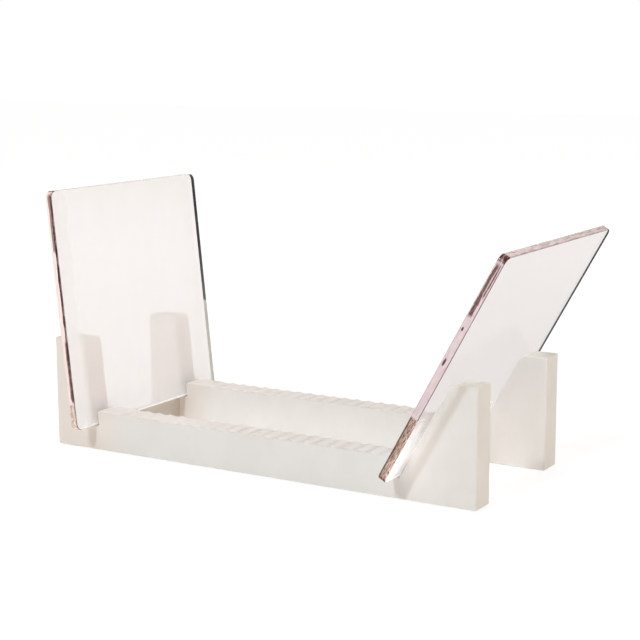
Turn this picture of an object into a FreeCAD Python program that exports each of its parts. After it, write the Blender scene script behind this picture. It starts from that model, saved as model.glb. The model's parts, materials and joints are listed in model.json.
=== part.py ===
import FreeCAD, Part
import math
import os

# Free-standing two-rail rack with two clear leaning end panels.
# Millimetres.  +X runs along the rails, +Y across the rack, +Z up.
# Every piece is first drawn with X = 0 at the outer end of the left posts, Y = 0 midway
# between the two side frames and Z = 0 on the table, then all are shifted along X so
# that the origin is the middle of the whole rack's outline on the table.

# ---- driving dimensions -------------------------------------------------------------
RACK_LENGTH = 400.0        # over the outer ends of the posts
RACK_WIDTH = 152.0         # over the outer faces of the two side frames
FRAME_THICKNESS = 23.0     # each side frame, across the rack
POST_HEIGHT = 94.0         # side frame's underside to the top of its posts
RAIL_HEIGHT = 34.0         # side frame's underside to the crest of its rail
PAD_PROUD = 0.8            # how far the rack is held off the table by its pads

PANEL_WIDTH = 203.0        # across the rack
PANEL_HEIGHT = 202.0       # along the leaning face
PANEL_THICKNESS = 6.4
PANEL_CORNER = 6.0         # radius of the panel's four corners
PANEL_ARRIS = 0.5          # broken edge all round the panel

LEFT_LEAN = 6.0            # degrees from upright, both panels lean outwards
RIGHT_LEAN = 29.0
LEFT_FOOT = (36.6, 21.1)   # lower outer edge of each panel, X and height above the underside
RIGHT_FOOT = (334.7, 18.1)

SEAT_CLEARANCE = 0.3       # panel to post and panel to slot floor
SLOT_PLAY = 1.5            # panel to the end of the rail

GROOVE_PITCH = 12.0        # shallow scallops that divide the crest of each rail
GROOVE_DEPTH = 1.4
GROOVE_RADIUS = 12.0
GROOVE_COUNT = 21
FIRST_GROOVE = 75.0        # X of the first scallop's middle

EDGE_ROUND = 1.6           # long edges of both faces of a side frame
END_ROUND = 1.8            # outer lower corners of the posts, seen from the side
LEFT_POST_ROUND = 1.8      # inner top corner of the steep post
RIGHT_POST_ROUND = 9.0     # inner top corner of the sloping post
RAIL_END_ROUND = 1.7

BAR_THICKNESS = 9.0        # cross bars at the feet of the panels, along X
BAR_UNDERSIDE = 2.0        # height above the side frame's underside
BAR_ROUND = 1.5
LEFT_BAR_FACE = 36.3       # X of each bar's face towards the middle, just outside its panel
RIGHT_BAR_FACE = 335.1

DOWEL_RADIUS = 2.5
DOWEL_LENGTH = 24.0
DOWEL_CHAMFER = 0.6
DOWEL_INSET = 5.0          # dowel axis from the top and from the underside of its bar

PAD_RADIUS = 7.0
PAD_THICKNESS = 1.6
PAD_CHAMFER = 0.3
PAD_INSET = 14.0           # pad centre from the outer end of the post

TOUCH = 1e-3

SIDES = {"left": -1.0, "right": 1.0}
FEET = {"left": LEFT_FOOT, "right": RIGHT_FOOT}
LEANS = {"left": LEFT_LEAN, "right": RIGHT_LEAN}


# ---- helpers ------------------------------------------------------------------------
def lean_axes(side):
    """Unit vectors of a panel seen from the front: up its face, and inwards through it."""
    lean = math.radians(LEANS[side])
    up = (SIDES[side] * math.sin(lean), math.cos(lean))
    inward = (-SIDES[side] * math.cos(lean), math.sin(lean))
    return up, inward


def slot_point(side, along, through):
    """A point given by its distance up the panel's face and inwards from its outer face."""
    up, inward = lean_axes(side)
    foot = FEET[side]
    x = foot[0] + along * up[0] + through * inward[0]
    z = foot[1] + along * up[1] + through * inward[1]
    return x, z


def slot_wall_at(side, through, height):
    """The point where a slot wall reaches the given height."""
    up = lean_axes(side)[0]
    x, z = slot_point(side, -SEAT_CLEARANCE, through)
    return x + (height - z) / up[1] * up[0], height


def lifted(shape):
    """Raise a piece drawn from the side frame's underside to its height over the table."""
    shape.translate(FreeCAD.Vector(0, 0, PAD_PROUD))
    return shape


def corner_edges(shape, corners):
    """Edges that run across the rack through the given (x, z) corners."""
    found = []
    for edge in shape.Edges:
        ends = [v.Point for v in edge.Vertexes]
        if abs(ends[0].y - ends[-1].y) < TOUCH:
            continue
        for x, z in corners:
            if abs(ends[0].x - x) < TOUCH and abs(ends[0].z - z) < TOUCH:
                found.append(edge)
    return found


def face_edges(shape, levels):
    """Edges that lie in a plane of constant Y at one of the given levels."""
    found = []
    for edge in shape.Edges:
        box = edge.BoundBox
        if box.YMax - box.YMin > TOUCH:
            continue
        if min(abs(box.YMin - level) for level in levels) < TOUCH:
            found.append(edge)
    return found


# ---- side frames --------------------------------------------------------------------
def side_outline():
    """Outline of a side frame seen from the front: post, slot, rail, slot, post."""
    rail_wall = PANEL_THICKNESS + SLOT_PLAY
    post_wall = -SEAT_CLEARANCE
    floor = -SEAT_CLEARANCE
    return [
        (0.0, 0.0),
        (RACK_LENGTH, 0.0),
        (RACK_LENGTH, POST_HEIGHT),
        slot_wall_at("right", post_wall, POST_HEIGHT),
        slot_point("right", floor, post_wall),
        slot_point("right", floor, rail_wall),
        slot_wall_at("right", rail_wall, RAIL_HEIGHT),
        slot_wall_at("left", rail_wall, RAIL_HEIGHT),
        slot_point("left", floor, rail_wall),
        slot_point("left", floor, post_wall),
        slot_wall_at("left", post_wall, POST_HEIGHT),
        (0.0, POST_HEIGHT),
    ]


def side_blank(y_front):
    """Side frame with rounded corners and edges, before the rail is scalloped."""
    outline = side_outline()
    loop = [FreeCAD.Vector(x, y_front, z) for x, z in outline]
    face = Part.Face(Part.makePolygon(loop + loop[:1]))
    blank = face.extrude(FreeCAD.Vector(0, FRAME_THICKNESS, 0))
    post_ends = [outline[0], outline[1]]
    blank = blank.makeFillet(END_ROUND, corner_edges(blank, post_ends))
    blank = blank.makeFillet(RIGHT_POST_ROUND, corner_edges(blank, [outline[3]]))
    blank = blank.makeFillet(LEFT_POST_ROUND, corner_edges(blank, [outline[10]]))
    blank = blank.makeFillet(RAIL_END_ROUND, corner_edges(blank, [outline[6], outline[7]]))
    faces = [y_front, y_front + FRAME_THICKNESS]
    return blank.makeFillet(EDGE_ROUND, face_edges(blank, faces))


def groove_cutters(y_front):
    """Round bars that cut the scallops across the rail's crest."""
    cutters = []
    centre_height = RAIL_HEIGHT - GROOVE_DEPTH + GROOVE_RADIUS
    for index in range(GROOVE_COUNT):
        start = FreeCAD.Vector(FIRST_GROOVE + index * GROOVE_PITCH, y_front - 1.0, centre_height)
        across = FreeCAD.Vector(0, 1, 0)
        cutters.append(Part.makeCylinder(GROOVE_RADIUS, FRAME_THICKNESS + 2.0, start, across))
    return cutters


def pad_spots():
    """Centres of the four pads, one under each post."""
    reach = RACK_WIDTH / 2 - FRAME_THICKNESS / 2
    spots = []
    for x in (PAD_INSET, RACK_LENGTH - PAD_INSET):
        for y in (-reach, reach):
            spots.append((x, y))
    return spots


def pad_recesses():
    """Shallow round recesses that the pads sit in."""
    depth = PAD_THICKNESS - PAD_PROUD
    recesses = []
    for x, y in pad_spots():
        recesses.append(Part.makeCylinder(PAD_RADIUS, depth, FreeCAD.Vector(x, y, 0)))
    return recesses


def side_frame(y_front):
    """One side frame: two posts, two slanted slots and the scalloped rail in one piece."""
    cutters = groove_cutters(y_front) + pad_recesses() + dowel_bodies()
    return lifted(side_blank(y_front).cut(Part.makeCompound(cutters)))


# ---- cross bars, dowels and pads ----------------------------------------------------
def bar_section(side):
    """X of the bar's two faces and the height of its top, level with the slot floors."""
    top = FEET[side][1] - SEAT_CLEARANCE
    if side == "left":
        return LEFT_BAR_FACE - BAR_THICKNESS, LEFT_BAR_FACE, top
    return RIGHT_BAR_FACE, RIGHT_BAR_FACE + BAR_THICKNESS, top


def cross_bar(side):
    """Flat bar between the side frames, along the outer side of its panel's foot."""
    x_low, x_high, top = bar_section(side)
    span = RACK_WIDTH - 2 * FRAME_THICKNESS
    corner = FreeCAD.Vector(x_low, -span / 2, BAR_UNDERSIDE)
    bar = Part.makeBox(BAR_THICKNESS, span, top - BAR_UNDERSIDE, corner)
    long_corners = []
    for x in (x_low, x_high):
        for z in (BAR_UNDERSIDE, top):
            long_corners.append((x, z))
    bar = bar.makeFillet(BAR_ROUND, corner_edges(bar, long_corners))
    return lifted(bar.cut(Part.makeCompound(dowel_bodies())))


def dowel_bodies():
    """Two dowels at each end of each bar, half in the bar and half in the side frame."""
    dowels = []
    joint = RACK_WIDTH / 2 - FRAME_THICKNESS
    for side in SIDES:
        x_low, x_high, top = bar_section(side)
        for z in (BAR_UNDERSIDE + DOWEL_INSET, top - DOWEL_INSET):
            for y in (-joint, joint):
                start = FreeCAD.Vector((x_low + x_high) / 2, y - DOWEL_LENGTH / 2, z)
                across = FreeCAD.Vector(0, 1, 0)
                peg = Part.makeCylinder(DOWEL_RADIUS, DOWEL_LENGTH, start, across)
                ends = [e for e in peg.Edges if len(e.Vertexes) == 1]
                dowels.append(peg.makeChamfer(DOWEL_CHAMFER, ends))
    return dowels


def joint_dowels():
    return lifted(Part.makeCompound(dowel_bodies()))


def foot_pads():
    """Thin round pads under the posts; the rack stands on them."""
    pads = []
    for x, y in pad_spots():
        pad = Part.makeCylinder(PAD_RADIUS, PAD_THICKNESS, FreeCAD.Vector(x, y, 0))
        lower_rim = [e for e in pad.Edges if len(e.Vertexes) == 1 and e.BoundBox.ZMax < TOUCH]
        pads.append(pad.makeChamfer(PAD_CHAMFER, lower_rim))
    return Part.makeCompound(pads)


# ---- clear panels -------------------------------------------------------------------
def clear_panel(side):
    """Flat clear plate with rounded corners, leaning outwards in its two slots."""
    plate = Part.makeBox(PANEL_THICKNESS, PANEL_WIDTH, PANEL_HEIGHT,
                         FreeCAD.Vector(0, -PANEL_WIDTH / 2, 0))
    short = [e for e in plate.Edges if e.BoundBox.XLength > PANEL_THICKNESS / 2]
    plate = plate.makeFillet(PANEL_CORNER, short)
    rims = [e for e in plate.Edges if e.BoundBox.XLength < TOUCH]
    plate = plate.makeChamfer(PANEL_ARRIS, rims)
    if side == "right":
        plate.translate(FreeCAD.Vector(-PANEL_THICKNESS, 0, 0))
    turn = SIDES[side] * LEANS[side]
    plate.rotate(FreeCAD.Vector(0, 0, 0), FreeCAD.Vector(0, 1, 0), turn)
    foot = FEET[side]
    plate.translate(FreeCAD.Vector(foot[0], 0, foot[1]))
    return lifted(plate)


# ---- assembly -----------------------------------------------------------------------
def all_pieces():
    front = -RACK_WIDTH / 2
    rear = RACK_WIDTH / 2 - FRAME_THICKNESS
    return {
        "front_side_frame": side_frame(front),
        "rear_side_frame": side_frame(rear),
        "left_cross_bar": cross_bar("left"),
        "right_cross_bar": cross_bar("right"),
        "joint_dowels": joint_dowels(),
        "foot_pads": foot_pads(),
        "left_clear_panel": clear_panel("left"),
        "right_clear_panel": clear_panel("right"),
    }


def main():
    os.makedirs("parts", exist_ok=True)
    pieces = all_pieces()
    outline = Part.makeCompound(list(pieces.values())).BoundBox
    shift = FreeCAD.Vector(-(outline.XMin + outline.XMax) / 2, 0, 0)
    for name, shape in pieces.items():
        shape.translate(shift)
        shape.exportStep("parts/" + name + ".step")


main()
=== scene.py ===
import bpy
import json
import math
from mathutils import Matrix, Vector, noise


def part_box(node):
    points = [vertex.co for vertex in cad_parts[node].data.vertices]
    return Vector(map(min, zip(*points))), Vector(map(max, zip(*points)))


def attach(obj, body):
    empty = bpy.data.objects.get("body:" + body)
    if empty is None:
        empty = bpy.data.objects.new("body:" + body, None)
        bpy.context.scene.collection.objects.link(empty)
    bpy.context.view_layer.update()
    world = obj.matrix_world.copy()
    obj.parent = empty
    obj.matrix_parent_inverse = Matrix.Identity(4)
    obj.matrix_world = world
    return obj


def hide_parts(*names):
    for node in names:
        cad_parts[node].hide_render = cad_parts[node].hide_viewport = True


# A rack of two ivory side frames that carries two clear leaning panels.  Metres, Z up:
# X runs along the rails and Y from the front side frame to the rear one.

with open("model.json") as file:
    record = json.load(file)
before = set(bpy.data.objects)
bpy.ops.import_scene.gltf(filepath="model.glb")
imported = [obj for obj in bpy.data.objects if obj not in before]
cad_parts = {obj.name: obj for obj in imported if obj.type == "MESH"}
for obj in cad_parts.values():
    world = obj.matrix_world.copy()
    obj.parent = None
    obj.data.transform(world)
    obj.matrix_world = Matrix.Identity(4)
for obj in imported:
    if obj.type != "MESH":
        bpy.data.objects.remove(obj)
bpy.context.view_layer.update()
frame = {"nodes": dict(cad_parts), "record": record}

# ------------------------------------------------------------------ camera
CAMERA_EYE = (0.6560, -1.0895, 0.3443)
CAMERA_AZIMUTH = 30.91       # degrees from +Y, towards -X
CAMERA_DROP = 10.12          # degrees below the horizon
CAMERA_ROLL = -0.16          # degrees, the right side up
CAMERA_LENS = 87.71          # millimetres, like the sensor
SENSOR_WIDTH = 36


def photo_camera():
    azimuth, drop, roll = (math.radians(a) for a in (CAMERA_AZIMUTH, CAMERA_DROP, CAMERA_ROLL))
    ahead = Vector((-math.sin(azimuth) * math.cos(drop), math.cos(azimuth) * math.cos(drop),
                    -math.sin(drop)))
    level = Vector((math.cos(azimuth), math.sin(azimuth), 0))
    upright = level.cross(ahead)
    right = math.cos(roll) * level + math.sin(roll) * upright
    up = math.cos(roll) * upright - math.sin(roll) * level
    data = bpy.data.cameras.new("photo_camera")
    data.sensor_width = SENSOR_WIDTH
    data.lens = CAMERA_LENS
    camera = bpy.data.objects.new("photo_camera", data)
    bpy.context.collection.objects.link(camera)
    camera.matrix_world = Matrix([(right[i], up[i], -ahead[i], CAMERA_EYE[i]) for i in range(3)]
                                 + [(0, 0, 0, 1)])
    bpy.context.scene.camera = camera


photo_camera()
bpy.context.scene.view_settings.view_transform = "Standard"


# ------------------------------------------------------------------ node helpers
class Look:
    """A material under construction, with short calls for the nodes it is made of."""

    def __init__(self, name):
        self.material = bpy.data.materials.new(name)
        self.material.use_nodes = True
        self.nodes = self.material.node_tree.nodes
        self.links = self.material.node_tree.links
        self.nodes.clear()
        self.out = self.nodes.new("ShaderNodeOutputMaterial")
        self.place = self.nodes.new("ShaderNodeTexCoord").outputs["Object"]

    def feed(self, socket, value):
        """Link a node's output to the socket, or set the socket to a number or colour."""
        if isinstance(value, bpy.types.NodeSocket):
            self.links.new(value, socket)
        elif isinstance(value, tuple) and len(value) == 3 and socket.type == "RGBA":
            socket.default_value = (*value, 1)
        else:
            socket.default_value = value

    def calc(self, kind, a, b=0.0, c=0.0, clamp=False):
        node = self.nodes.new("ShaderNodeMath")
        node.operation = kind
        node.use_clamp = clamp
        for socket, value in zip(node.inputs, (a, b, c)):
            self.feed(socket, value)
        return node.outputs[0]

    def times(self, product, *others):
        """All of these multiplied."""
        for other in others:
            product = self.calc("MULTIPLY", product, other)
        return product

    def span(self, value, low, high, to_low=0.0, to_high=1.0):
        """value from low..high to to_low..to_high, eased and clamped."""
        node = self.nodes.new("ShaderNodeMapRange")
        node.interpolation_type = "SMOOTHSTEP"
        for name, v in (("Value", value), ("From Min", low), ("From Max", high),
                        ("To Min", to_low), ("To Max", to_high)):
            self.feed(node.inputs[name], v)
        return node.outputs[0]

    def mix(self, factor, a, b):
        """Colour a where factor is 0, colour b where it is 1."""
        node = self.nodes.new("ShaderNodeMix")
        node.data_type = "RGBA"
        self.feed(node.inputs[0], factor)
        self.feed(node.inputs[6], a)
        self.feed(node.inputs[7], b)
        return node.outputs[2]

    def scaled(self, vector, scale):
        node = self.nodes.new("ShaderNodeMapping")
        self.feed(node.inputs["Vector"], vector)
        node.inputs["Scale"].default_value = scale
        return node.outputs[0]

    def vector(self, x, y, z):
        node = self.nodes.new("ShaderNodeCombineXYZ")
        for socket, value in zip(node.inputs, (x, y, z)):
            self.feed(socket, value)
        return node.outputs[0]

    def split(self, vector):
        """The X, Y and Z of a vector, by name."""
        node = self.nodes.new("ShaderNodeSeparateXYZ")
        self.links.new(vector, node.inputs[0])
        return node.outputs

    def noise(self, where, scale, detail, rough, distortion=0.0):
        node = self.nodes.new("ShaderNodeTexNoise")
        self.feed(node.inputs["Vector"], where)
        node.inputs["Scale"].default_value = scale
        node.inputs["Detail"].default_value = detail
        node.inputs["Roughness"].default_value = rough
        node.inputs["Distortion"].default_value = distortion
        return node.outputs[0]

    def attribute(self, name):
        node = self.nodes.new("ShaderNodeAttribute")
        node.attribute_name = name
        return node.outputs["Fac"]

    def geometry(self, name):
        return self.nodes.new("ShaderNodeNewGeometry").outputs[name]

    def bump(self, height, strength, distance):
        node = self.nodes.new("ShaderNodeBump")
        self.feed(node.inputs["Height"], height)
        node.inputs["Strength"].default_value = strength
        node.inputs["Distance"].default_value = distance
        return node.outputs[0]

    def surface(self, **values):
        """A Principled shader with these of its sockets fed."""
        node = self.nodes.new("ShaderNodeBsdfPrincipled")
        for name, value in values.items():
            self.feed(node.inputs[name.replace("_", " ")], value)
        return node.outputs[0]

    def blend(self, factor, a, b):
        """Shader a where factor is 0, shader b where it is 1."""
        node = self.nodes.new("ShaderNodeMixShader")
        for socket, value in zip(node.inputs, (factor, a, b)):
            self.feed(socket, value)
        return node.outputs[0]

    def lamps_through(self, shader, colour):
        """The shader, which lamps shine through in this colour instead of throwing a
        full shadow."""
        thin = self.nodes.new("ShaderNodeBsdfTransparent")
        self.feed(thin.inputs["Color"], colour)
        lamps = self.nodes.new("ShaderNodeLightPath").outputs["Is Shadow Ray"]
        return self.blend(lamps, shader, thin.outputs[0])

    def finish(self, shader):
        self.links.new(shader, self.out.inputs["Surface"])
        return self.material


# ------------------------------------------------------------------ frames, dowels and pads
IVORY_PATCH = (0.720, 0.712, 0.672)
# painted shade: the frames' ivory made darker and browner for the cross bars, which stand in the
# shaded well between the rails
BAR_SHADE = (0.560, 0.510, 0.450)
WARM_SHADE_X = (-0.175, -0.135)  # painted warm shade towards the left end, up to here
WARM_SHADING = 0.75
FACING_UP = (0.6, 0.9)       # upward part of the normal where a face is painted as a top
TOP_Z = (0.05, 0.08)         # between the rails' crests and the posts' tops


def ivory_look(name="ivory_satin", pale=(0.775, 0.760, 0.728), deep=(0.742, 0.732, 0.700),
               warm_shade=(0.745, 0.672, 0.608), crest_painted_light=(0.845, 0.803, 0.775),
               post_top_painted_shade=(0.665, 0.665, 0.610)):
    """Satin ivory: faint warm and cool clouding, painted warm shade towards the left end,
    painted light on the upward faces of the crests and painted shade on the post tops, an even
    orange-peel skin."""
    look = Look(name)
    place = look.split(look.place)
    clouds = look.noise(look.place, 22, 3, 0.55)
    patches = look.noise(look.scaled(look.place, (1, 1, 0.6)), 60, 4, 0.6)
    colour = look.mix(look.span(clouds, 0.35, 0.68), deep, pale)
    colour = look.mix(look.span(patches, 0.42, 0.66, 0, 0.35), colour, IVORY_PATCH)
    # painted warm shade: browner towards the left end
    colour = look.mix(look.span(place["X"], *WARM_SHADE_X, WARM_SHADING, 0), colour, warm_shade)
    # painted light on the upward faces of the crests, painted shade on the post tops
    top = look.mix(look.span(place["Z"], *TOP_Z), crest_painted_light, post_top_painted_shade)
    upward = look.split(look.geometry("Normal"))["Z"]
    colour = look.mix(look.span(upward, *FACING_UP), colour, top)
    peel = look.noise(look.place, 900, 2, 0.5)
    waves = look.noise(look.place, 140, 2, 0.4)
    skin = look.calc("MULTIPLY_ADD", waves, 0.3, peel)
    return look.finish(look.surface(
        Base_Color=colour,
        Roughness=look.span(patches, 0.3, 0.7, 0.30, 0.42),
        IOR=1.48,
        Normal=look.bump(skin, 0.06, 0.0006)))


def shaded_bar_look():
    """The cross bars, a tone darker and browner than the frames they join: painted shade, for
    the well between the rails that they stand in.
    """
    return ivory_look("ivory_painted_shade", pale=BAR_SHADE, deep=(0.505, 0.455, 0.395),
                      warm_shade=(0.530, 0.475, 0.415), crest_painted_light=BAR_SHADE, post_top_painted_shade=BAR_SHADE)


def beech_look():
    """Turned beech dowel: close pale rings, short darker flecks along the grain."""
    look = Look("beech_dowel")
    grain = look.scaled(look.place, (900, 60, 900))
    rings = look.noise(grain, 1.0, 4, 0.6, 0.4)
    flecks = look.noise(look.scaled(look.place, (2600, 240, 2600)), 1.0, 2, 0.5)
    colour = look.mix(look.span(rings, 0.3, 0.7), (0.46, 0.27, 0.13), (0.62, 0.41, 0.23))
    colour = look.mix(look.span(flecks, 0.62, 0.72, 0, 0.7), colour, (0.26, 0.13, 0.06))
    return look.finish(look.surface(
        Base_Color=colour,
        Roughness=look.span(rings, 0.3, 0.7, 0.5, 0.68),
        Normal=look.bump(flecks, 0.25, 0.0004)))


def rubber_look():
    """Pale grey foot pad: dull, finely speckled, slightly grimy."""
    look = Look("pad_rubber")
    speckle = look.noise(look.place, 1800, 2, 0.6)
    grime = look.noise(look.place, 160, 4, 0.6)
    colour = look.mix(look.span(speckle, 0.4, 0.65), (0.33, 0.32, 0.30), (0.42, 0.41, 0.39))
    colour = look.mix(look.span(grime, 0.5, 0.8, 0, 0.6), colour, (0.20, 0.18, 0.16))
    return look.finish(look.surface(
        Base_Color=colour,
        Roughness=look.span(grime, 0.3, 0.7, 0.72, 0.9),
        Normal=look.bump(speckle, 0.3, 0.0003)))


NODE_LOOKS = {
    "front_side_frame": ivory_look, "rear_side_frame": ivory_look,
    "left_cross_bar": shaded_bar_look, "right_cross_bar": shaded_bar_look,
    "joint_dowels": beech_look, "foot_pads": rubber_look}

made = {}
for node, recipe in NODE_LOOKS.items():
    if recipe not in made:
        made[recipe] = recipe()
    for slot in frame["nodes"][node].material_slots:
        slot.material = made[recipe]


# ------------------------------------------------------------------ clear panels: faces
# Heights on a panel are shares of its own height, measured up from its foot.
PANEL_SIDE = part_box("left_clear_panel")[1][1]
CLEAR_IOR = 1.42
UNMIRRORED = 0.75            # the share of a face that bends light without mirroring
HAZE = (0.82, 0.84, 0.86)
HAZE_PAINTED_GLOW = (1.0, 0.965, 0.955)   # painted light: the milky veil glows as though lit, though it is no lamp
FOOT_SHEEN_FADE = 0.20            # the painted sheen at the foot fades out over this height
FRONT_SHEEN_Y = (0.0115 - PANEL_SIDE, 0.0235 - PANEL_SIDE)   # painted light: a paler veil near the front edge, up to here
FRONT_SHEEN_FADE = 0.11          # and fading out over this height
FOOT_GLINT = (0.003, 0.009)   # a painted glint along the foot
FOOT_GLINT_HAZE = 0.7
CLEAR_BORDER = (PANEL_SIDE - 0.007, PANEL_SIDE - 0.005)  # the haze stops short of the rear edge
BORDER_HAZE = 0.5            # but this share of it stays low down
BORDER_FADE = (0.15, 0.75)
LAMP_FADE = (0.05, 0.13)     # lamps shine through above this, and hardly below it
LAMP_LOW = (0.05, 0.03, 0.02)
LAMP_HIGH = (0.95, 0.94, 0.94)


def clear_face_look(name, tint, haze, painted_foot_sheen, painted_front_sheen, glow):
    """A panel's broad faces: polished clear acrylic under a glowing milky veil, partly real haze
    and smears and partly painted light for the studio mirrored in the faces, with painted sheen
    besides at the foot and near the front edge and a painted glint along the foot.  Lamps shine
    through it.

    haze is the least and the most of the veil.  The next two are the painted sheen that the
    foot and the front edge have besides, each with the height where it begins to fade."""
    look = Look(name)
    height = look.attribute("height")
    across = look.split(look.place)["Y"]

    mirror = look.surface(Base_Color=tuple(c * c for c in tint), Roughness=0.0, IOR=CLEAR_IOR,
                          Transmission_Weight=1.0)
    bent = look.nodes.new("ShaderNodeBsdfRefraction")
    for socket, value in (("Color", tint), ("Roughness", 0.0), ("IOR", CLEAR_IOR)):
        look.feed(bent.inputs[socket], value)
    clear = look.blend(UNMIRRORED, mirror, bent.outputs[0])
    # painted light: the milky veil is lit and also glows, though it is no lamp
    milky = look.surface(Base_Color=HAZE, Roughness=0.6, Emission_Color=HAZE_PAINTED_GLOW,
                         Emission_Strength=glow)

    # partly real haze and smears, partly painted light
    smears_and_sheen = look.noise(look.scaled(look.place, (16, 16, 6)), 1.0, 2, 0.5)
    # painted reflection: the veil whitens towards the foot
    foot_sheen = look.span(height, painted_foot_sheen[1], painted_foot_sheen[1] + FOOT_SHEEN_FADE, painted_foot_sheen[0], 0)
    # painted light: a paler veil near the front edge, whitening what is seen through it
    front_sheen = look.times(look.span(across, *FRONT_SHEEN_Y, painted_front_sheen[0], 0),
                         look.span(height, painted_front_sheen[1], painted_front_sheen[1] + FRONT_SHEEN_FADE, 1, 0))
    veil = look.calc("ADD", look.span(smears_and_sheen, 0.3, 0.7, *haze), foot_sheen)
    veil = look.calc("ADD", veil, front_sheen)
    # painted glint: a paler line along the foot
    veil = look.calc("ADD", veil, look.span(height, *FOOT_GLINT, FOOT_GLINT_HAZE, 0), clamp=True)
    kept = look.span(across, *CLEAR_BORDER, 1, look.span(height, *BORDER_FADE, BORDER_HAZE, 0))
    veiled = look.blend(look.times(veil, kept), clear, milky)
    lamplight = look.mix(look.span(height, *LAMP_FADE), LAMP_LOW, LAMP_HIGH)
    return look.finish(look.lamps_through(veiled, lamplight))


# ------------------------------------------------------------------ clear panels: edges
# What each point of a panel's mesh knows: metres along the edges, share of the way through
# the sheet towards +X, height, and 1 on the upright edges to 0 on the level ones.
MESH_VALUES = ("along", "through", "height", "flank")
EDGE_IOR = 1.28
EDGE_SHADE = (0.52, 0.43, 0.31)   # lamp light that an edge lets through
BAND_DRIFT = 0.36            # how far a band wanders through the sheet
BAND_ENDS = (0.02, 0.03)     # a band fades in and out over these heights
# painted highlight beside a dark band
CORE_HIGHLIGHT = (1.0, 0.93, 0.88)
FLECK = (0.13, 0.055, 0.060)
FOOT_FADE = 0.012
RIM_AT = (0.405, 0.44)       # from the middle of the sheet
# painted shade along the edge's rims
RIM_LINE = (0.090, 0.042, 0.040)
# painted reflection, for an edge seen from inside the sheet
INSIDE_PALE = (0.58, 0.57, 0.50)
INSIDE_DARK = (0.012, 0.009, 0.008)
NONE_BELOW = 0.0             # heights for a pattern that a panel doesn't have
NONE_ABOVE = 1.5


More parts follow.
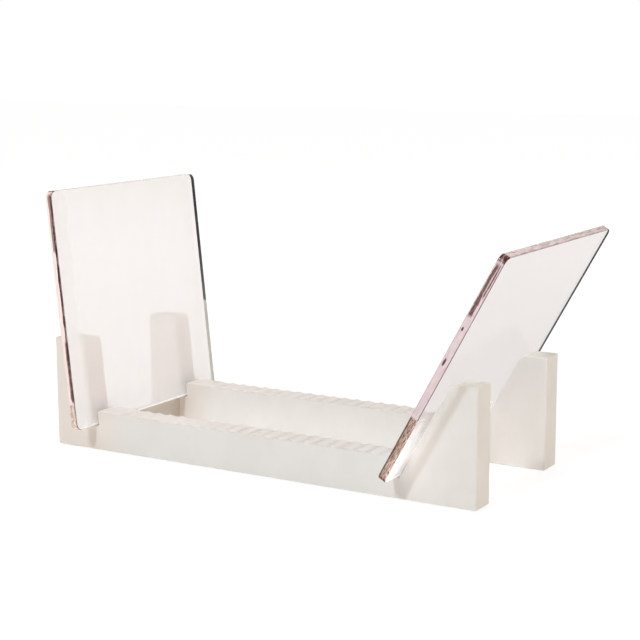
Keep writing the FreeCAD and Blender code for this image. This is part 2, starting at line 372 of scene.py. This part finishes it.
class EdgeLook(Look):
    """A polished edge: rose from the sheet's own tint seen through its depth, with dark wavy
    streaks, paler highlight lines and dark rims painted in for the reflections and shade that
    the sheet's depth gathers there.  Each step takes the colour so far and gives it back with
    one more thing in it."""

    def __init__(self, name, seed):
        super().__init__(name)
        self.seed = seed
        self.along, self.through, self.height, self.flank = (
            self.attribute(value) for value in MESH_VALUES)
        self.drift = self.streaks(30, 0.0, 0, 2, 0.5)
        self.swing = self.streaks(60, 0.0, 7, 3, 0.6)
        self.depth = self.streaks(17, 0.0, 13, 1, 0.5)
        self.fine = self.streaks(230, 5.0, 1, 4, 0.7, 1.2)
        self.coarse = self.streaks(85, 2.6, 3, 3, 0.6, 1.0)
        self.grain = self.streaks(150, 9.0, 5, 4, 0.75, 0.6)

    def streaks(self, per_metre, across, shift, detail, rough, distortion=0.0):
        """Noise drawn out along the edge."""
        where = self.vector(self.times(self.along, per_metre), self.times(self.through, across),
                            self.seed + shift)
        return self.noise(where, 1.0, detail, rough, distortion)

    def off(self, value, centre, half):
        """Distance of a value from a centre, in half widths."""
        return self.calc("DIVIDE", self.calc("SUBTRACT", value, centre), half)

    def band(self, colour, darks, low, high, centre, half, strength):
        """A long wavy dark band between two heights, a painted reflection, with a painted
        highlight line beside it.
        """
        middle = self.calc("MULTIPLY_ADD", self.drift, BAND_DRIFT, centre - BAND_DRIFT / 2)
        wide = self.span(self.swing, 0.3, 0.7, half * 0.6, half * 1.4)
        off = self.off(self.through, middle, wide)
        reach = self.times(self.span(self.height, low, low + BAND_ENDS[0]),
                           self.span(self.height, high, high + BAND_ENDS[1], 1, 0), self.flank)
        core = self.times(self.span(off, -2.6, -1.2), self.span(off, -1.2, -0.9, 1, 0),
                          self.span(self.swing, 0.35, 0.6, 0.1, 0.9), reach)
        colour = self.mix(core, colour, CORE_HIGHLIGHT)
        dark = self.mix(self.span(self.depth, 0.35, 0.65), darks[0], darks[1])
        broken = self.span(self.grain, 0.50, 0.62, 0, 0.9 * (1.3 - strength))
        dark = self.mix(broken, dark, darks[2])
        body = self.span(self.calc("ABSOLUTE", off), 0.7, 1.15, 1, 0)
        return self.mix(self.times(body, reach, strength), colour, dark)

    def fleck(self, colour, height, long, centre, wide):
        """A small ragged dark fleck on the upright edges."""
        up = self.off(self.height, height, long)
        across = self.off(self.through, centre, wide)
        away = self.calc("ADD", self.times(up, up), self.times(across, across))
        away = self.calc("MULTIPLY_ADD", self.fine, 1.2, self.calc("SUBTRACT", away, 0.6))
        return self.mix(self.times(self.span(away, 0.55, 1.15, 1, 0), self.flank), colour, FLECK)

    def near_foot(self, top):
        """1 on the upright edges below a height."""
        return self.times(self.span(self.height, top - FOOT_FADE, top, 1, 0), self.flank)

    def foot(self, colour, top, dark, mid, pale, side):
        """Mottled below a height, with side telling how dark it is on its -X side."""
        mottle = self.mix(self.span(self.grain, 0.40, 0.60), dark, mid)
        mottle = self.mix(self.span(self.coarse, 0.54, 0.62, 0, 0.8), mottle, pale)
        mottle = self.mix(self.span(self.through, 0.10, 0.36, side, 0), mottle, dark)
        return self.mix(self.near_foot(top), colour, mottle)

    def corners(self, colour, reach, above, least, dark):
        """Speckled dark where the edge turns a corner, out to a flank of reach, and all
        over the upright edges above a height.  least is how dark the pale speckles are."""
        turn = self.times(self.span(self.flank, 0.02, 0.12),
                          self.span(self.flank, reach, reach + 0.1, 1, 0))
        block = self.times(self.span(self.height, above, above + 0.006), self.flank)
        speckle = self.span(self.grain, 0.50, 0.62, 1, least)
        return self.mix(self.times(self.calc("MAXIMUM", turn, block), speckle), colour, dark)

    def level_edges(self, colour, pale, grey):
        """Paler, greyer top and bottom edges with long streaks."""
        level = self.span(self.flank, 0.0, 0.2, 1, 0)
        return self.mix(level, colour, self.mix(self.span(self.coarse, 0.40, 0.62), pale, grey))

    def rims(self, colour, on_level, foot_top, foot_side):
        """Thin dark lines of painted shade where the edge meets the faces, weaker towards -X
        and, as on_level tells, on the top and bottom edges."""
        off = self.calc("ABSOLUTE", self.calc("SUBTRACT", self.through, 0.5))
        rim = self.times(self.span(off, *RIM_AT), self.span(self.flank, 0.0, 0.3, on_level, 1),
                         self.span(self.through, 0.3, 0.7, 0.45, 1),
                         self.span(self.near_foot(foot_top), 0, 1, 1, 1 - foot_side),
                         self.span(self.swing, 0.3, 0.6, 0.7, 0.95))
        return self.mix(rim, colour, RIM_LINE)

    def seen_inside(self, colour, level, pale_below):
        """Painted reflection: seen from inside the sheet an upright edge is painted dark for the
        dark surroundings it mirrors, except below a height, and a level one has a colour of its
        own."""
        upright = self.mix(self.span(self.height, pale_below - 0.01, pale_below), INSIDE_PALE,
                           INSIDE_DARK)
        inside = self.mix(self.span(self.flank, 0.1, 0.4), level, upright)
        return self.mix(self.geometry("Backfacing"), colour, inside)


def clear_edge_look(name, seed, rose, darks, bands, flecks, foot, corner, level, level_rim,
                    level_inside, pale_below):
    """The edges of one panel.  bands are (low, high, centre, half width, strength) and
    flecks (height, half length, centre, half width)."""
    look = EdgeLook(name, seed)
    colour = look.mix(look.span(look.coarse, 0.35, 0.7), *rose)
    for band in bands:
        colour = look.band(colour, darks, *band)
    for fleck in flecks:
        colour = look.fleck(colour, *fleck)
    colour = look.foot(colour, **foot)
    colour = look.corners(colour, **corner)
    colour = look.level_edges(colour, *level)
    colour = look.rims(colour, level_rim, foot["top"], foot["side"])
    colour = look.seen_inside(colour, level_inside, pale_below)
    solid = look.surface(
        Base_Color=colour,
        Roughness=look.span(look.fine, 0.3, 0.7, 0.10, 0.24),
        IOR=EDGE_IOR,
        Normal=look.bump(look.coarse, 0.25, 0.0005))
    return look.finish(look.lamps_through(solid, EDGE_SHADE))


# ------------------------------------------------------------------ clear panels: shape
CORNER = 0.006               # corner radius of a panel
ARRIS = 0.0005               # broken edge between the faces and the edges
CORNER_STEPS = 12
EDGE_STEP = 0.0025           # spacing of the mesh along the straight edges
ARRIS_RINGS = ((0.0, 1.0), (0.5, 0.5), (1.0, 0.0))   # depth and inset, in shares of it
MORE_RINGS = (0.2, 0.35, 0.5, 0.65, 0.8)             # depth, in shares of the thickness
WAVE = 0.00016               # how deep the polishing has left the edges uneven
WAVES = ((55, 1.6, 0, 0.35), (190, 2.4, 5, 0.15))    # per metre, through, seed shift, share


def outline(wide, tall):
    """Rounded rectangle as (y, z, outward y, outward z, distance along), anticlockwise."""
    spots = []
    for turn, (sy, sz) in enumerate(((1, 1), (-1, 1), (-1, -1), (1, -1))):
        for step in range(CORNER_STEPS + 1):
            angle = math.radians(90 * (turn + step / CORNER_STEPS))
            ny, nz = math.cos(angle), math.sin(angle)
            spots.append((sy * (wide / 2 - CORNER) + CORNER * ny,
                          sz * (tall / 2 - CORNER) + CORNER * nz, ny, nz))
    points = []
    for here, after in zip(spots, spots[1:] + spots[:1]):
        steps = max(1, round(math.dist(here[:2], after[:2]) / EDGE_STEP))
        for k in range(steps):
            t = k / steps
            points.append([a + (b - a) * t for a, b in zip(here, after)])
    loop = []
    travelled = 0.0
    for point, after in zip(points, points[1:] + points[:1]):
        loop.append((*point, travelled))
        travelled += math.dist(point[:2], after[:2])
    return loop


def rings(thick):
    """Depth through the sheet and inset from its outline, ring by ring of the mesh."""
    arris = [(depth * ARRIS, inset * ARRIS) for depth, inset in ARRIS_RINGS]
    between = [(thick * share, 0.0) for share in MORE_RINGS]
    return arris + between + [(thick - depth, inset) for depth, inset in reversed(arris)]


def polished_away(travelled, share, seed):
    """How deep the polishing has cut into the edge here: not at all beside the faces."""
    cut = 0.5
    for per_metre, through, shift, weight in WAVES:
        spot = Vector((travelled * per_metre, share * through, seed + shift))
        cut += weight * noise.noise(spot)
    return WAVE * cut * math.sin(math.pi * share)


def panel_mesh(node, up, seed, looks):
    """A clear panel that leans along up: the CAD panel's outline, with broken edges and
    slightly uneven polished ones."""
    across = Vector((0, 1, 0))
    through = across.cross(up)
    corners = [v.co for v in frame["nodes"][node].data.vertices]
    reach = [(min(c.dot(d) for c in corners), max(c.dot(d) for c in corners))
             for d in (across, up, through)]
    mid = sum((d * (a + b) / 2 for d, (a, b) in zip((across, up, through), reach)), Vector())
    wide, tall, thick = (b - a for a, b in reach)
    loop = outline(wide, tall)
    depths = rings(thick)

    verts, tags = [], []
    for depth, inset in depths:
        share = depth / thick
        for y, z, ny, nz, travelled in loop:
            cut = inset + polished_away(travelled, share, seed)
            verts.append(mid + across * (y - ny * cut) + up * (z - nz * cut)
                         + through * (depth - thick / 2))
            tags.append((travelled, share, (z + tall / 2) / tall, abs(ny)))
    count = len(loop)
    last = (len(depths) - 1) * count
    faces = []
    for ring in range(0, last, count):
        for k in range(count):
            a, b = ring + k, ring + (k + 1) % count
            faces.append((a, b, b + count, a + count))
    faces.append(tuple(range(count - 1, -1, -1)))
    faces.append(tuple(range(last, last + count)))

    mesh = bpy.data.meshes.new(node + "_polished")
    mesh.from_pydata(verts, [], faces)
    for index, name in enumerate(MESH_VALUES):
        layer = mesh.attributes.new(name, "FLOAT", "POINT")
        layer.data.foreach_set("value", [tag[index] for tag in tags])
    for look in looks:
        mesh.materials.append(look)
    for polygon in mesh.polygons:
        broad = len(polygon.vertices) > 4
        polygon.material_index = int(broad)
        polygon.use_smooth = not broad
    for edge in mesh.edges:
        edge.use_edge_sharp = (all(v < count for v in edge.vertices)
                               or all(v >= last for v in edge.vertices))
    mesh.validate()
    return mesh


lift_axes = {joint["child"]: joint["axis"] for joint in frame["record"]["behaviour"]["joints"]}


def clear_panel(side, seed, edge_look, face_look):
    """The piece that stands for a clear panel."""
    node = side + "_clear_panel"
    body = side + "_panel"
    mesh = panel_mesh(node, Vector(lift_axes[body]).normalized(), seed, (edge_look, face_look))
    piece = bpy.data.objects.new(mesh.name, mesh)
    bpy.context.collection.objects.link(piece)
    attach(piece, body)
    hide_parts(node)


LEFT_SEED = 3.0
RIGHT_SEED = 11.0

left_face = clear_face_look(
    "left_face_clear", tint=(0.968, 0.953, 0.948), haze=(0.38, 0.42), painted_foot_sheen=(0.06, 0.02),
    painted_front_sheen=(0.34, 1.0), glow=0.22)
right_face = clear_face_look(
    "right_face_clear", tint=(0.885, 0.868, 0.864), haze=(0.035, 0.060), painted_foot_sheen=(0.39, 0.08),
    painted_front_sheen=(0.32, 0.24), glow=0.36)

left_edge = clear_edge_look(
    "left_edge_rose", LEFT_SEED,
    rose=((0.97, 0.80, 0.77), (0.93, 0.72, 0.69)),
    darks=((0.024, 0.006, 0.005), (0.130, 0.036, 0.030), (0.50, 0.27, 0.25)),
    bands=((0.11, 0.975, 0.80, 0.15, 1.0),
           (0.74, 0.975, 0.58, 0.24, 0.75),
           (0.12, 0.36, 0.62, 0.14, 0.8)),
    flecks=(),
    foot=dict(top=0.115, dark=(0.42, 0.26, 0.21), mid=(0.86, 0.68, 0.60),
              pale=(0.97, 0.90, 0.84), side=0.0),
    corner=dict(reach=0.40, above=NONE_ABOVE, least=0.8, dark=(0.045, 0.016, 0.018)),
    level=((0.90, 0.88, 0.875), (0.80, 0.785, 0.785)), level_rim=0.0,
    level_inside=(0.95, 0.92, 0.89), pale_below=0.415)
right_edge = clear_edge_look(
    "right_edge_rose", RIGHT_SEED,
    rose=((0.80, 0.660, 0.675), (0.66, 0.545, 0.575)),
    darks=((0.055, 0.012, 0.010), (0.150, 0.038, 0.034), (0.74, 0.46, 0.46)),
    bands=((0.735, 0.950, 0.38, 0.26, 0.92),
           (0.82, 0.950, 0.70, 0.09, 0.9)),
    flecks=((0.690, 0.009, 0.36, 0.13),
            (0.545, 0.018, 0.36, 0.15)),
    foot=dict(top=0.30, dark=(0.095, 0.036, 0.026), mid=(0.74, 0.53, 0.43),
              pale=(0.90, 0.77, 0.69), side=0.85),
    corner=dict(reach=0.90, above=0.972, least=0.25, dark=(0.085, 0.010, 0.010)),
    level=((0.84, 0.72, 0.73), (0.60, 0.48, 0.51)), level_rim=0.25,
    level_inside=(0.62, 0.47, 0.42), pale_below=NONE_BELOW)

clear_panel("left", LEFT_SEED, left_edge, left_face)
clear_panel("right", RIGHT_SEED, right_edge, right_face)

# ------------------------------------------------------------------ floor and light
FLOOR_SIZE = 12
FLOOR_GLOW = (0.33, 0.82)    # beside the rack and far from it
FLOOR_AWAY = (0.35, 1.6)     # where beside ends and far begins
FLOOR_EVEN = 0.8             # how much of the floor's own light and shade is evened out
WELL_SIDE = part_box("rear_side_frame")[0][1]   # the rear frame's inner face
WELL_X = (0.150, 0.185)      # the floor between the rails glows more, up to these
WELL_Y = (WELL_SIDE - 0.013, WELL_SIDE - 0.001)
WELL_GLOW = 1.3
SKY_COLOUR = (1.0, 0.88, 0.74)
SKY_LIGHT = 0.16
BACKDROP = 1.0               # what the camera sees beyond the floor
AIM = (0, 0, 0.05)           # all the lamps point here

# name, place, width, depth, watts, colour
LAMPS = (
    ("key", (-0.08, -1.68, 1.40), 0.22, 0.22, 18.2, (0.92, 0.94, 0.99)),
    ("rim", (-1.30, 0.10, 1.00), 0.8, 0.8, 5.0, (1.0, 0.98, 0.95)),
    ("fill", (1.60, -0.20, 0.50), 1.0, 0.8, 5.4, (1.0, 0.74, 0.55)),
    ("back", (-0.50, 1.60, 1.20), 1.2, 1.0, 6.0, (1.0, 0.97, 0.94)),
    ("top", (0.0, 0.30, 1.80), 1.6, 1.6, 10.5, (1.0, 1.0, 1.0)),
)


def floor_look():
    """A lit white table top: pale, matte, glowing a little, more so between the rails, which
    shade it.  Seen directly, or straight through the clear sheets, it is an almost even
    white."""
    look = Look("floor_pale")
    place = look.split(look.place)
    soft = look.noise(look.place, 3, 2, 0.5)
    away = look.nodes.new("ShaderNodeVectorMath")
    away.operation = "LENGTH"
    look.links.new(look.place, away.inputs[0])
    glow = look.span(away.outputs["Value"], *FLOOR_AWAY, *FLOOR_GLOW)
    beside = look.calc("MAXIMUM", look.span(look.calc("ABSOLUTE", place["X"]), *WELL_X),
                       look.span(look.calc("ABSOLUTE", place["Y"]), *WELL_Y))
    lit = look.surface(
        Base_Color=look.mix(soft, (0.925, 0.923, 0.920), (0.940, 0.938, 0.935)),
        Roughness=0.85,
        Specular_IOR_Level=0.1,
        Emission_Color=(1.0, 1.0, 1.0),
        Emission_Strength=look.times(glow, look.span(beside, 0, 1, WELL_GLOW, 1)))
    even = look.nodes.new("ShaderNodeEmission")
    path = look.nodes.new("ShaderNodeLightPath").outputs
    straight = look.calc("MAXIMUM", path["Is Camera Ray"], path["Is Singular Ray"])
    return look.finish(look.blend(look.times(straight, FLOOR_EVEN), lit, even.outputs[0]))


def soft_light(name, where, width, depth, power, colour):
    data = bpy.data.lights.new(name, "AREA")
    data.shape = "RECTANGLE"
    data.size = width
    data.size_y = depth
    data.energy = power
    data.color = colour
    lamp = bpy.data.objects.new(name, data)
    bpy.context.collection.objects.link(lamp)
    lamp.location = where
    lamp.rotation_euler = (Vector(AIM) - Vector(where)).to_track_quat("-Z", "Y").to_euler()
    lamp.visible_camera = False


def studio_world():
    """Even soft light for the object, with a white backdrop wherever it is seen or mirrored."""
    world = bpy.data.worlds.new("studio")
    bpy.context.scene.world = world
    world.use_nodes = True
    nodes, links = world.node_tree.nodes, world.node_tree.links
    light = nodes["Background"]
    light.inputs[0].default_value = (*SKY_COLOUR, 1)
    light.inputs[1].default_value = SKY_LIGHT
    backdrop = nodes.new("ShaderNodeBackground")
    backdrop.inputs[0].default_value = (1, 1, 1, 1)
    backdrop.inputs[1].default_value = BACKDROP
    choice = nodes.new("ShaderNodeMixShader")
    path = nodes.new("ShaderNodeLightPath").outputs
    straight = nodes.new("ShaderNodeMath")
    straight.operation = "MAXIMUM"
    links.new(path["Is Camera Ray"], straight.inputs[0])
    links.new(path["Is Singular Ray"], straight.inputs[1])
    links.new(straight.outputs[0], choice.inputs[0])
    links.new(light.outputs[0], choice.inputs[1])
    links.new(backdrop.outputs[0], choice.inputs[2])
    links.new(choice.outputs[0], nodes["World Output"].inputs["Surface"])


bpy.ops.mesh.primitive_plane_add(size=FLOOR_SIZE, location=(0, 0, 0))
floor = bpy.context.object
floor.name = "floor"
floor.data.materials.append(floor_look())
studio_world()
for lamp in LAMPS:
    soft_light(*lamp)
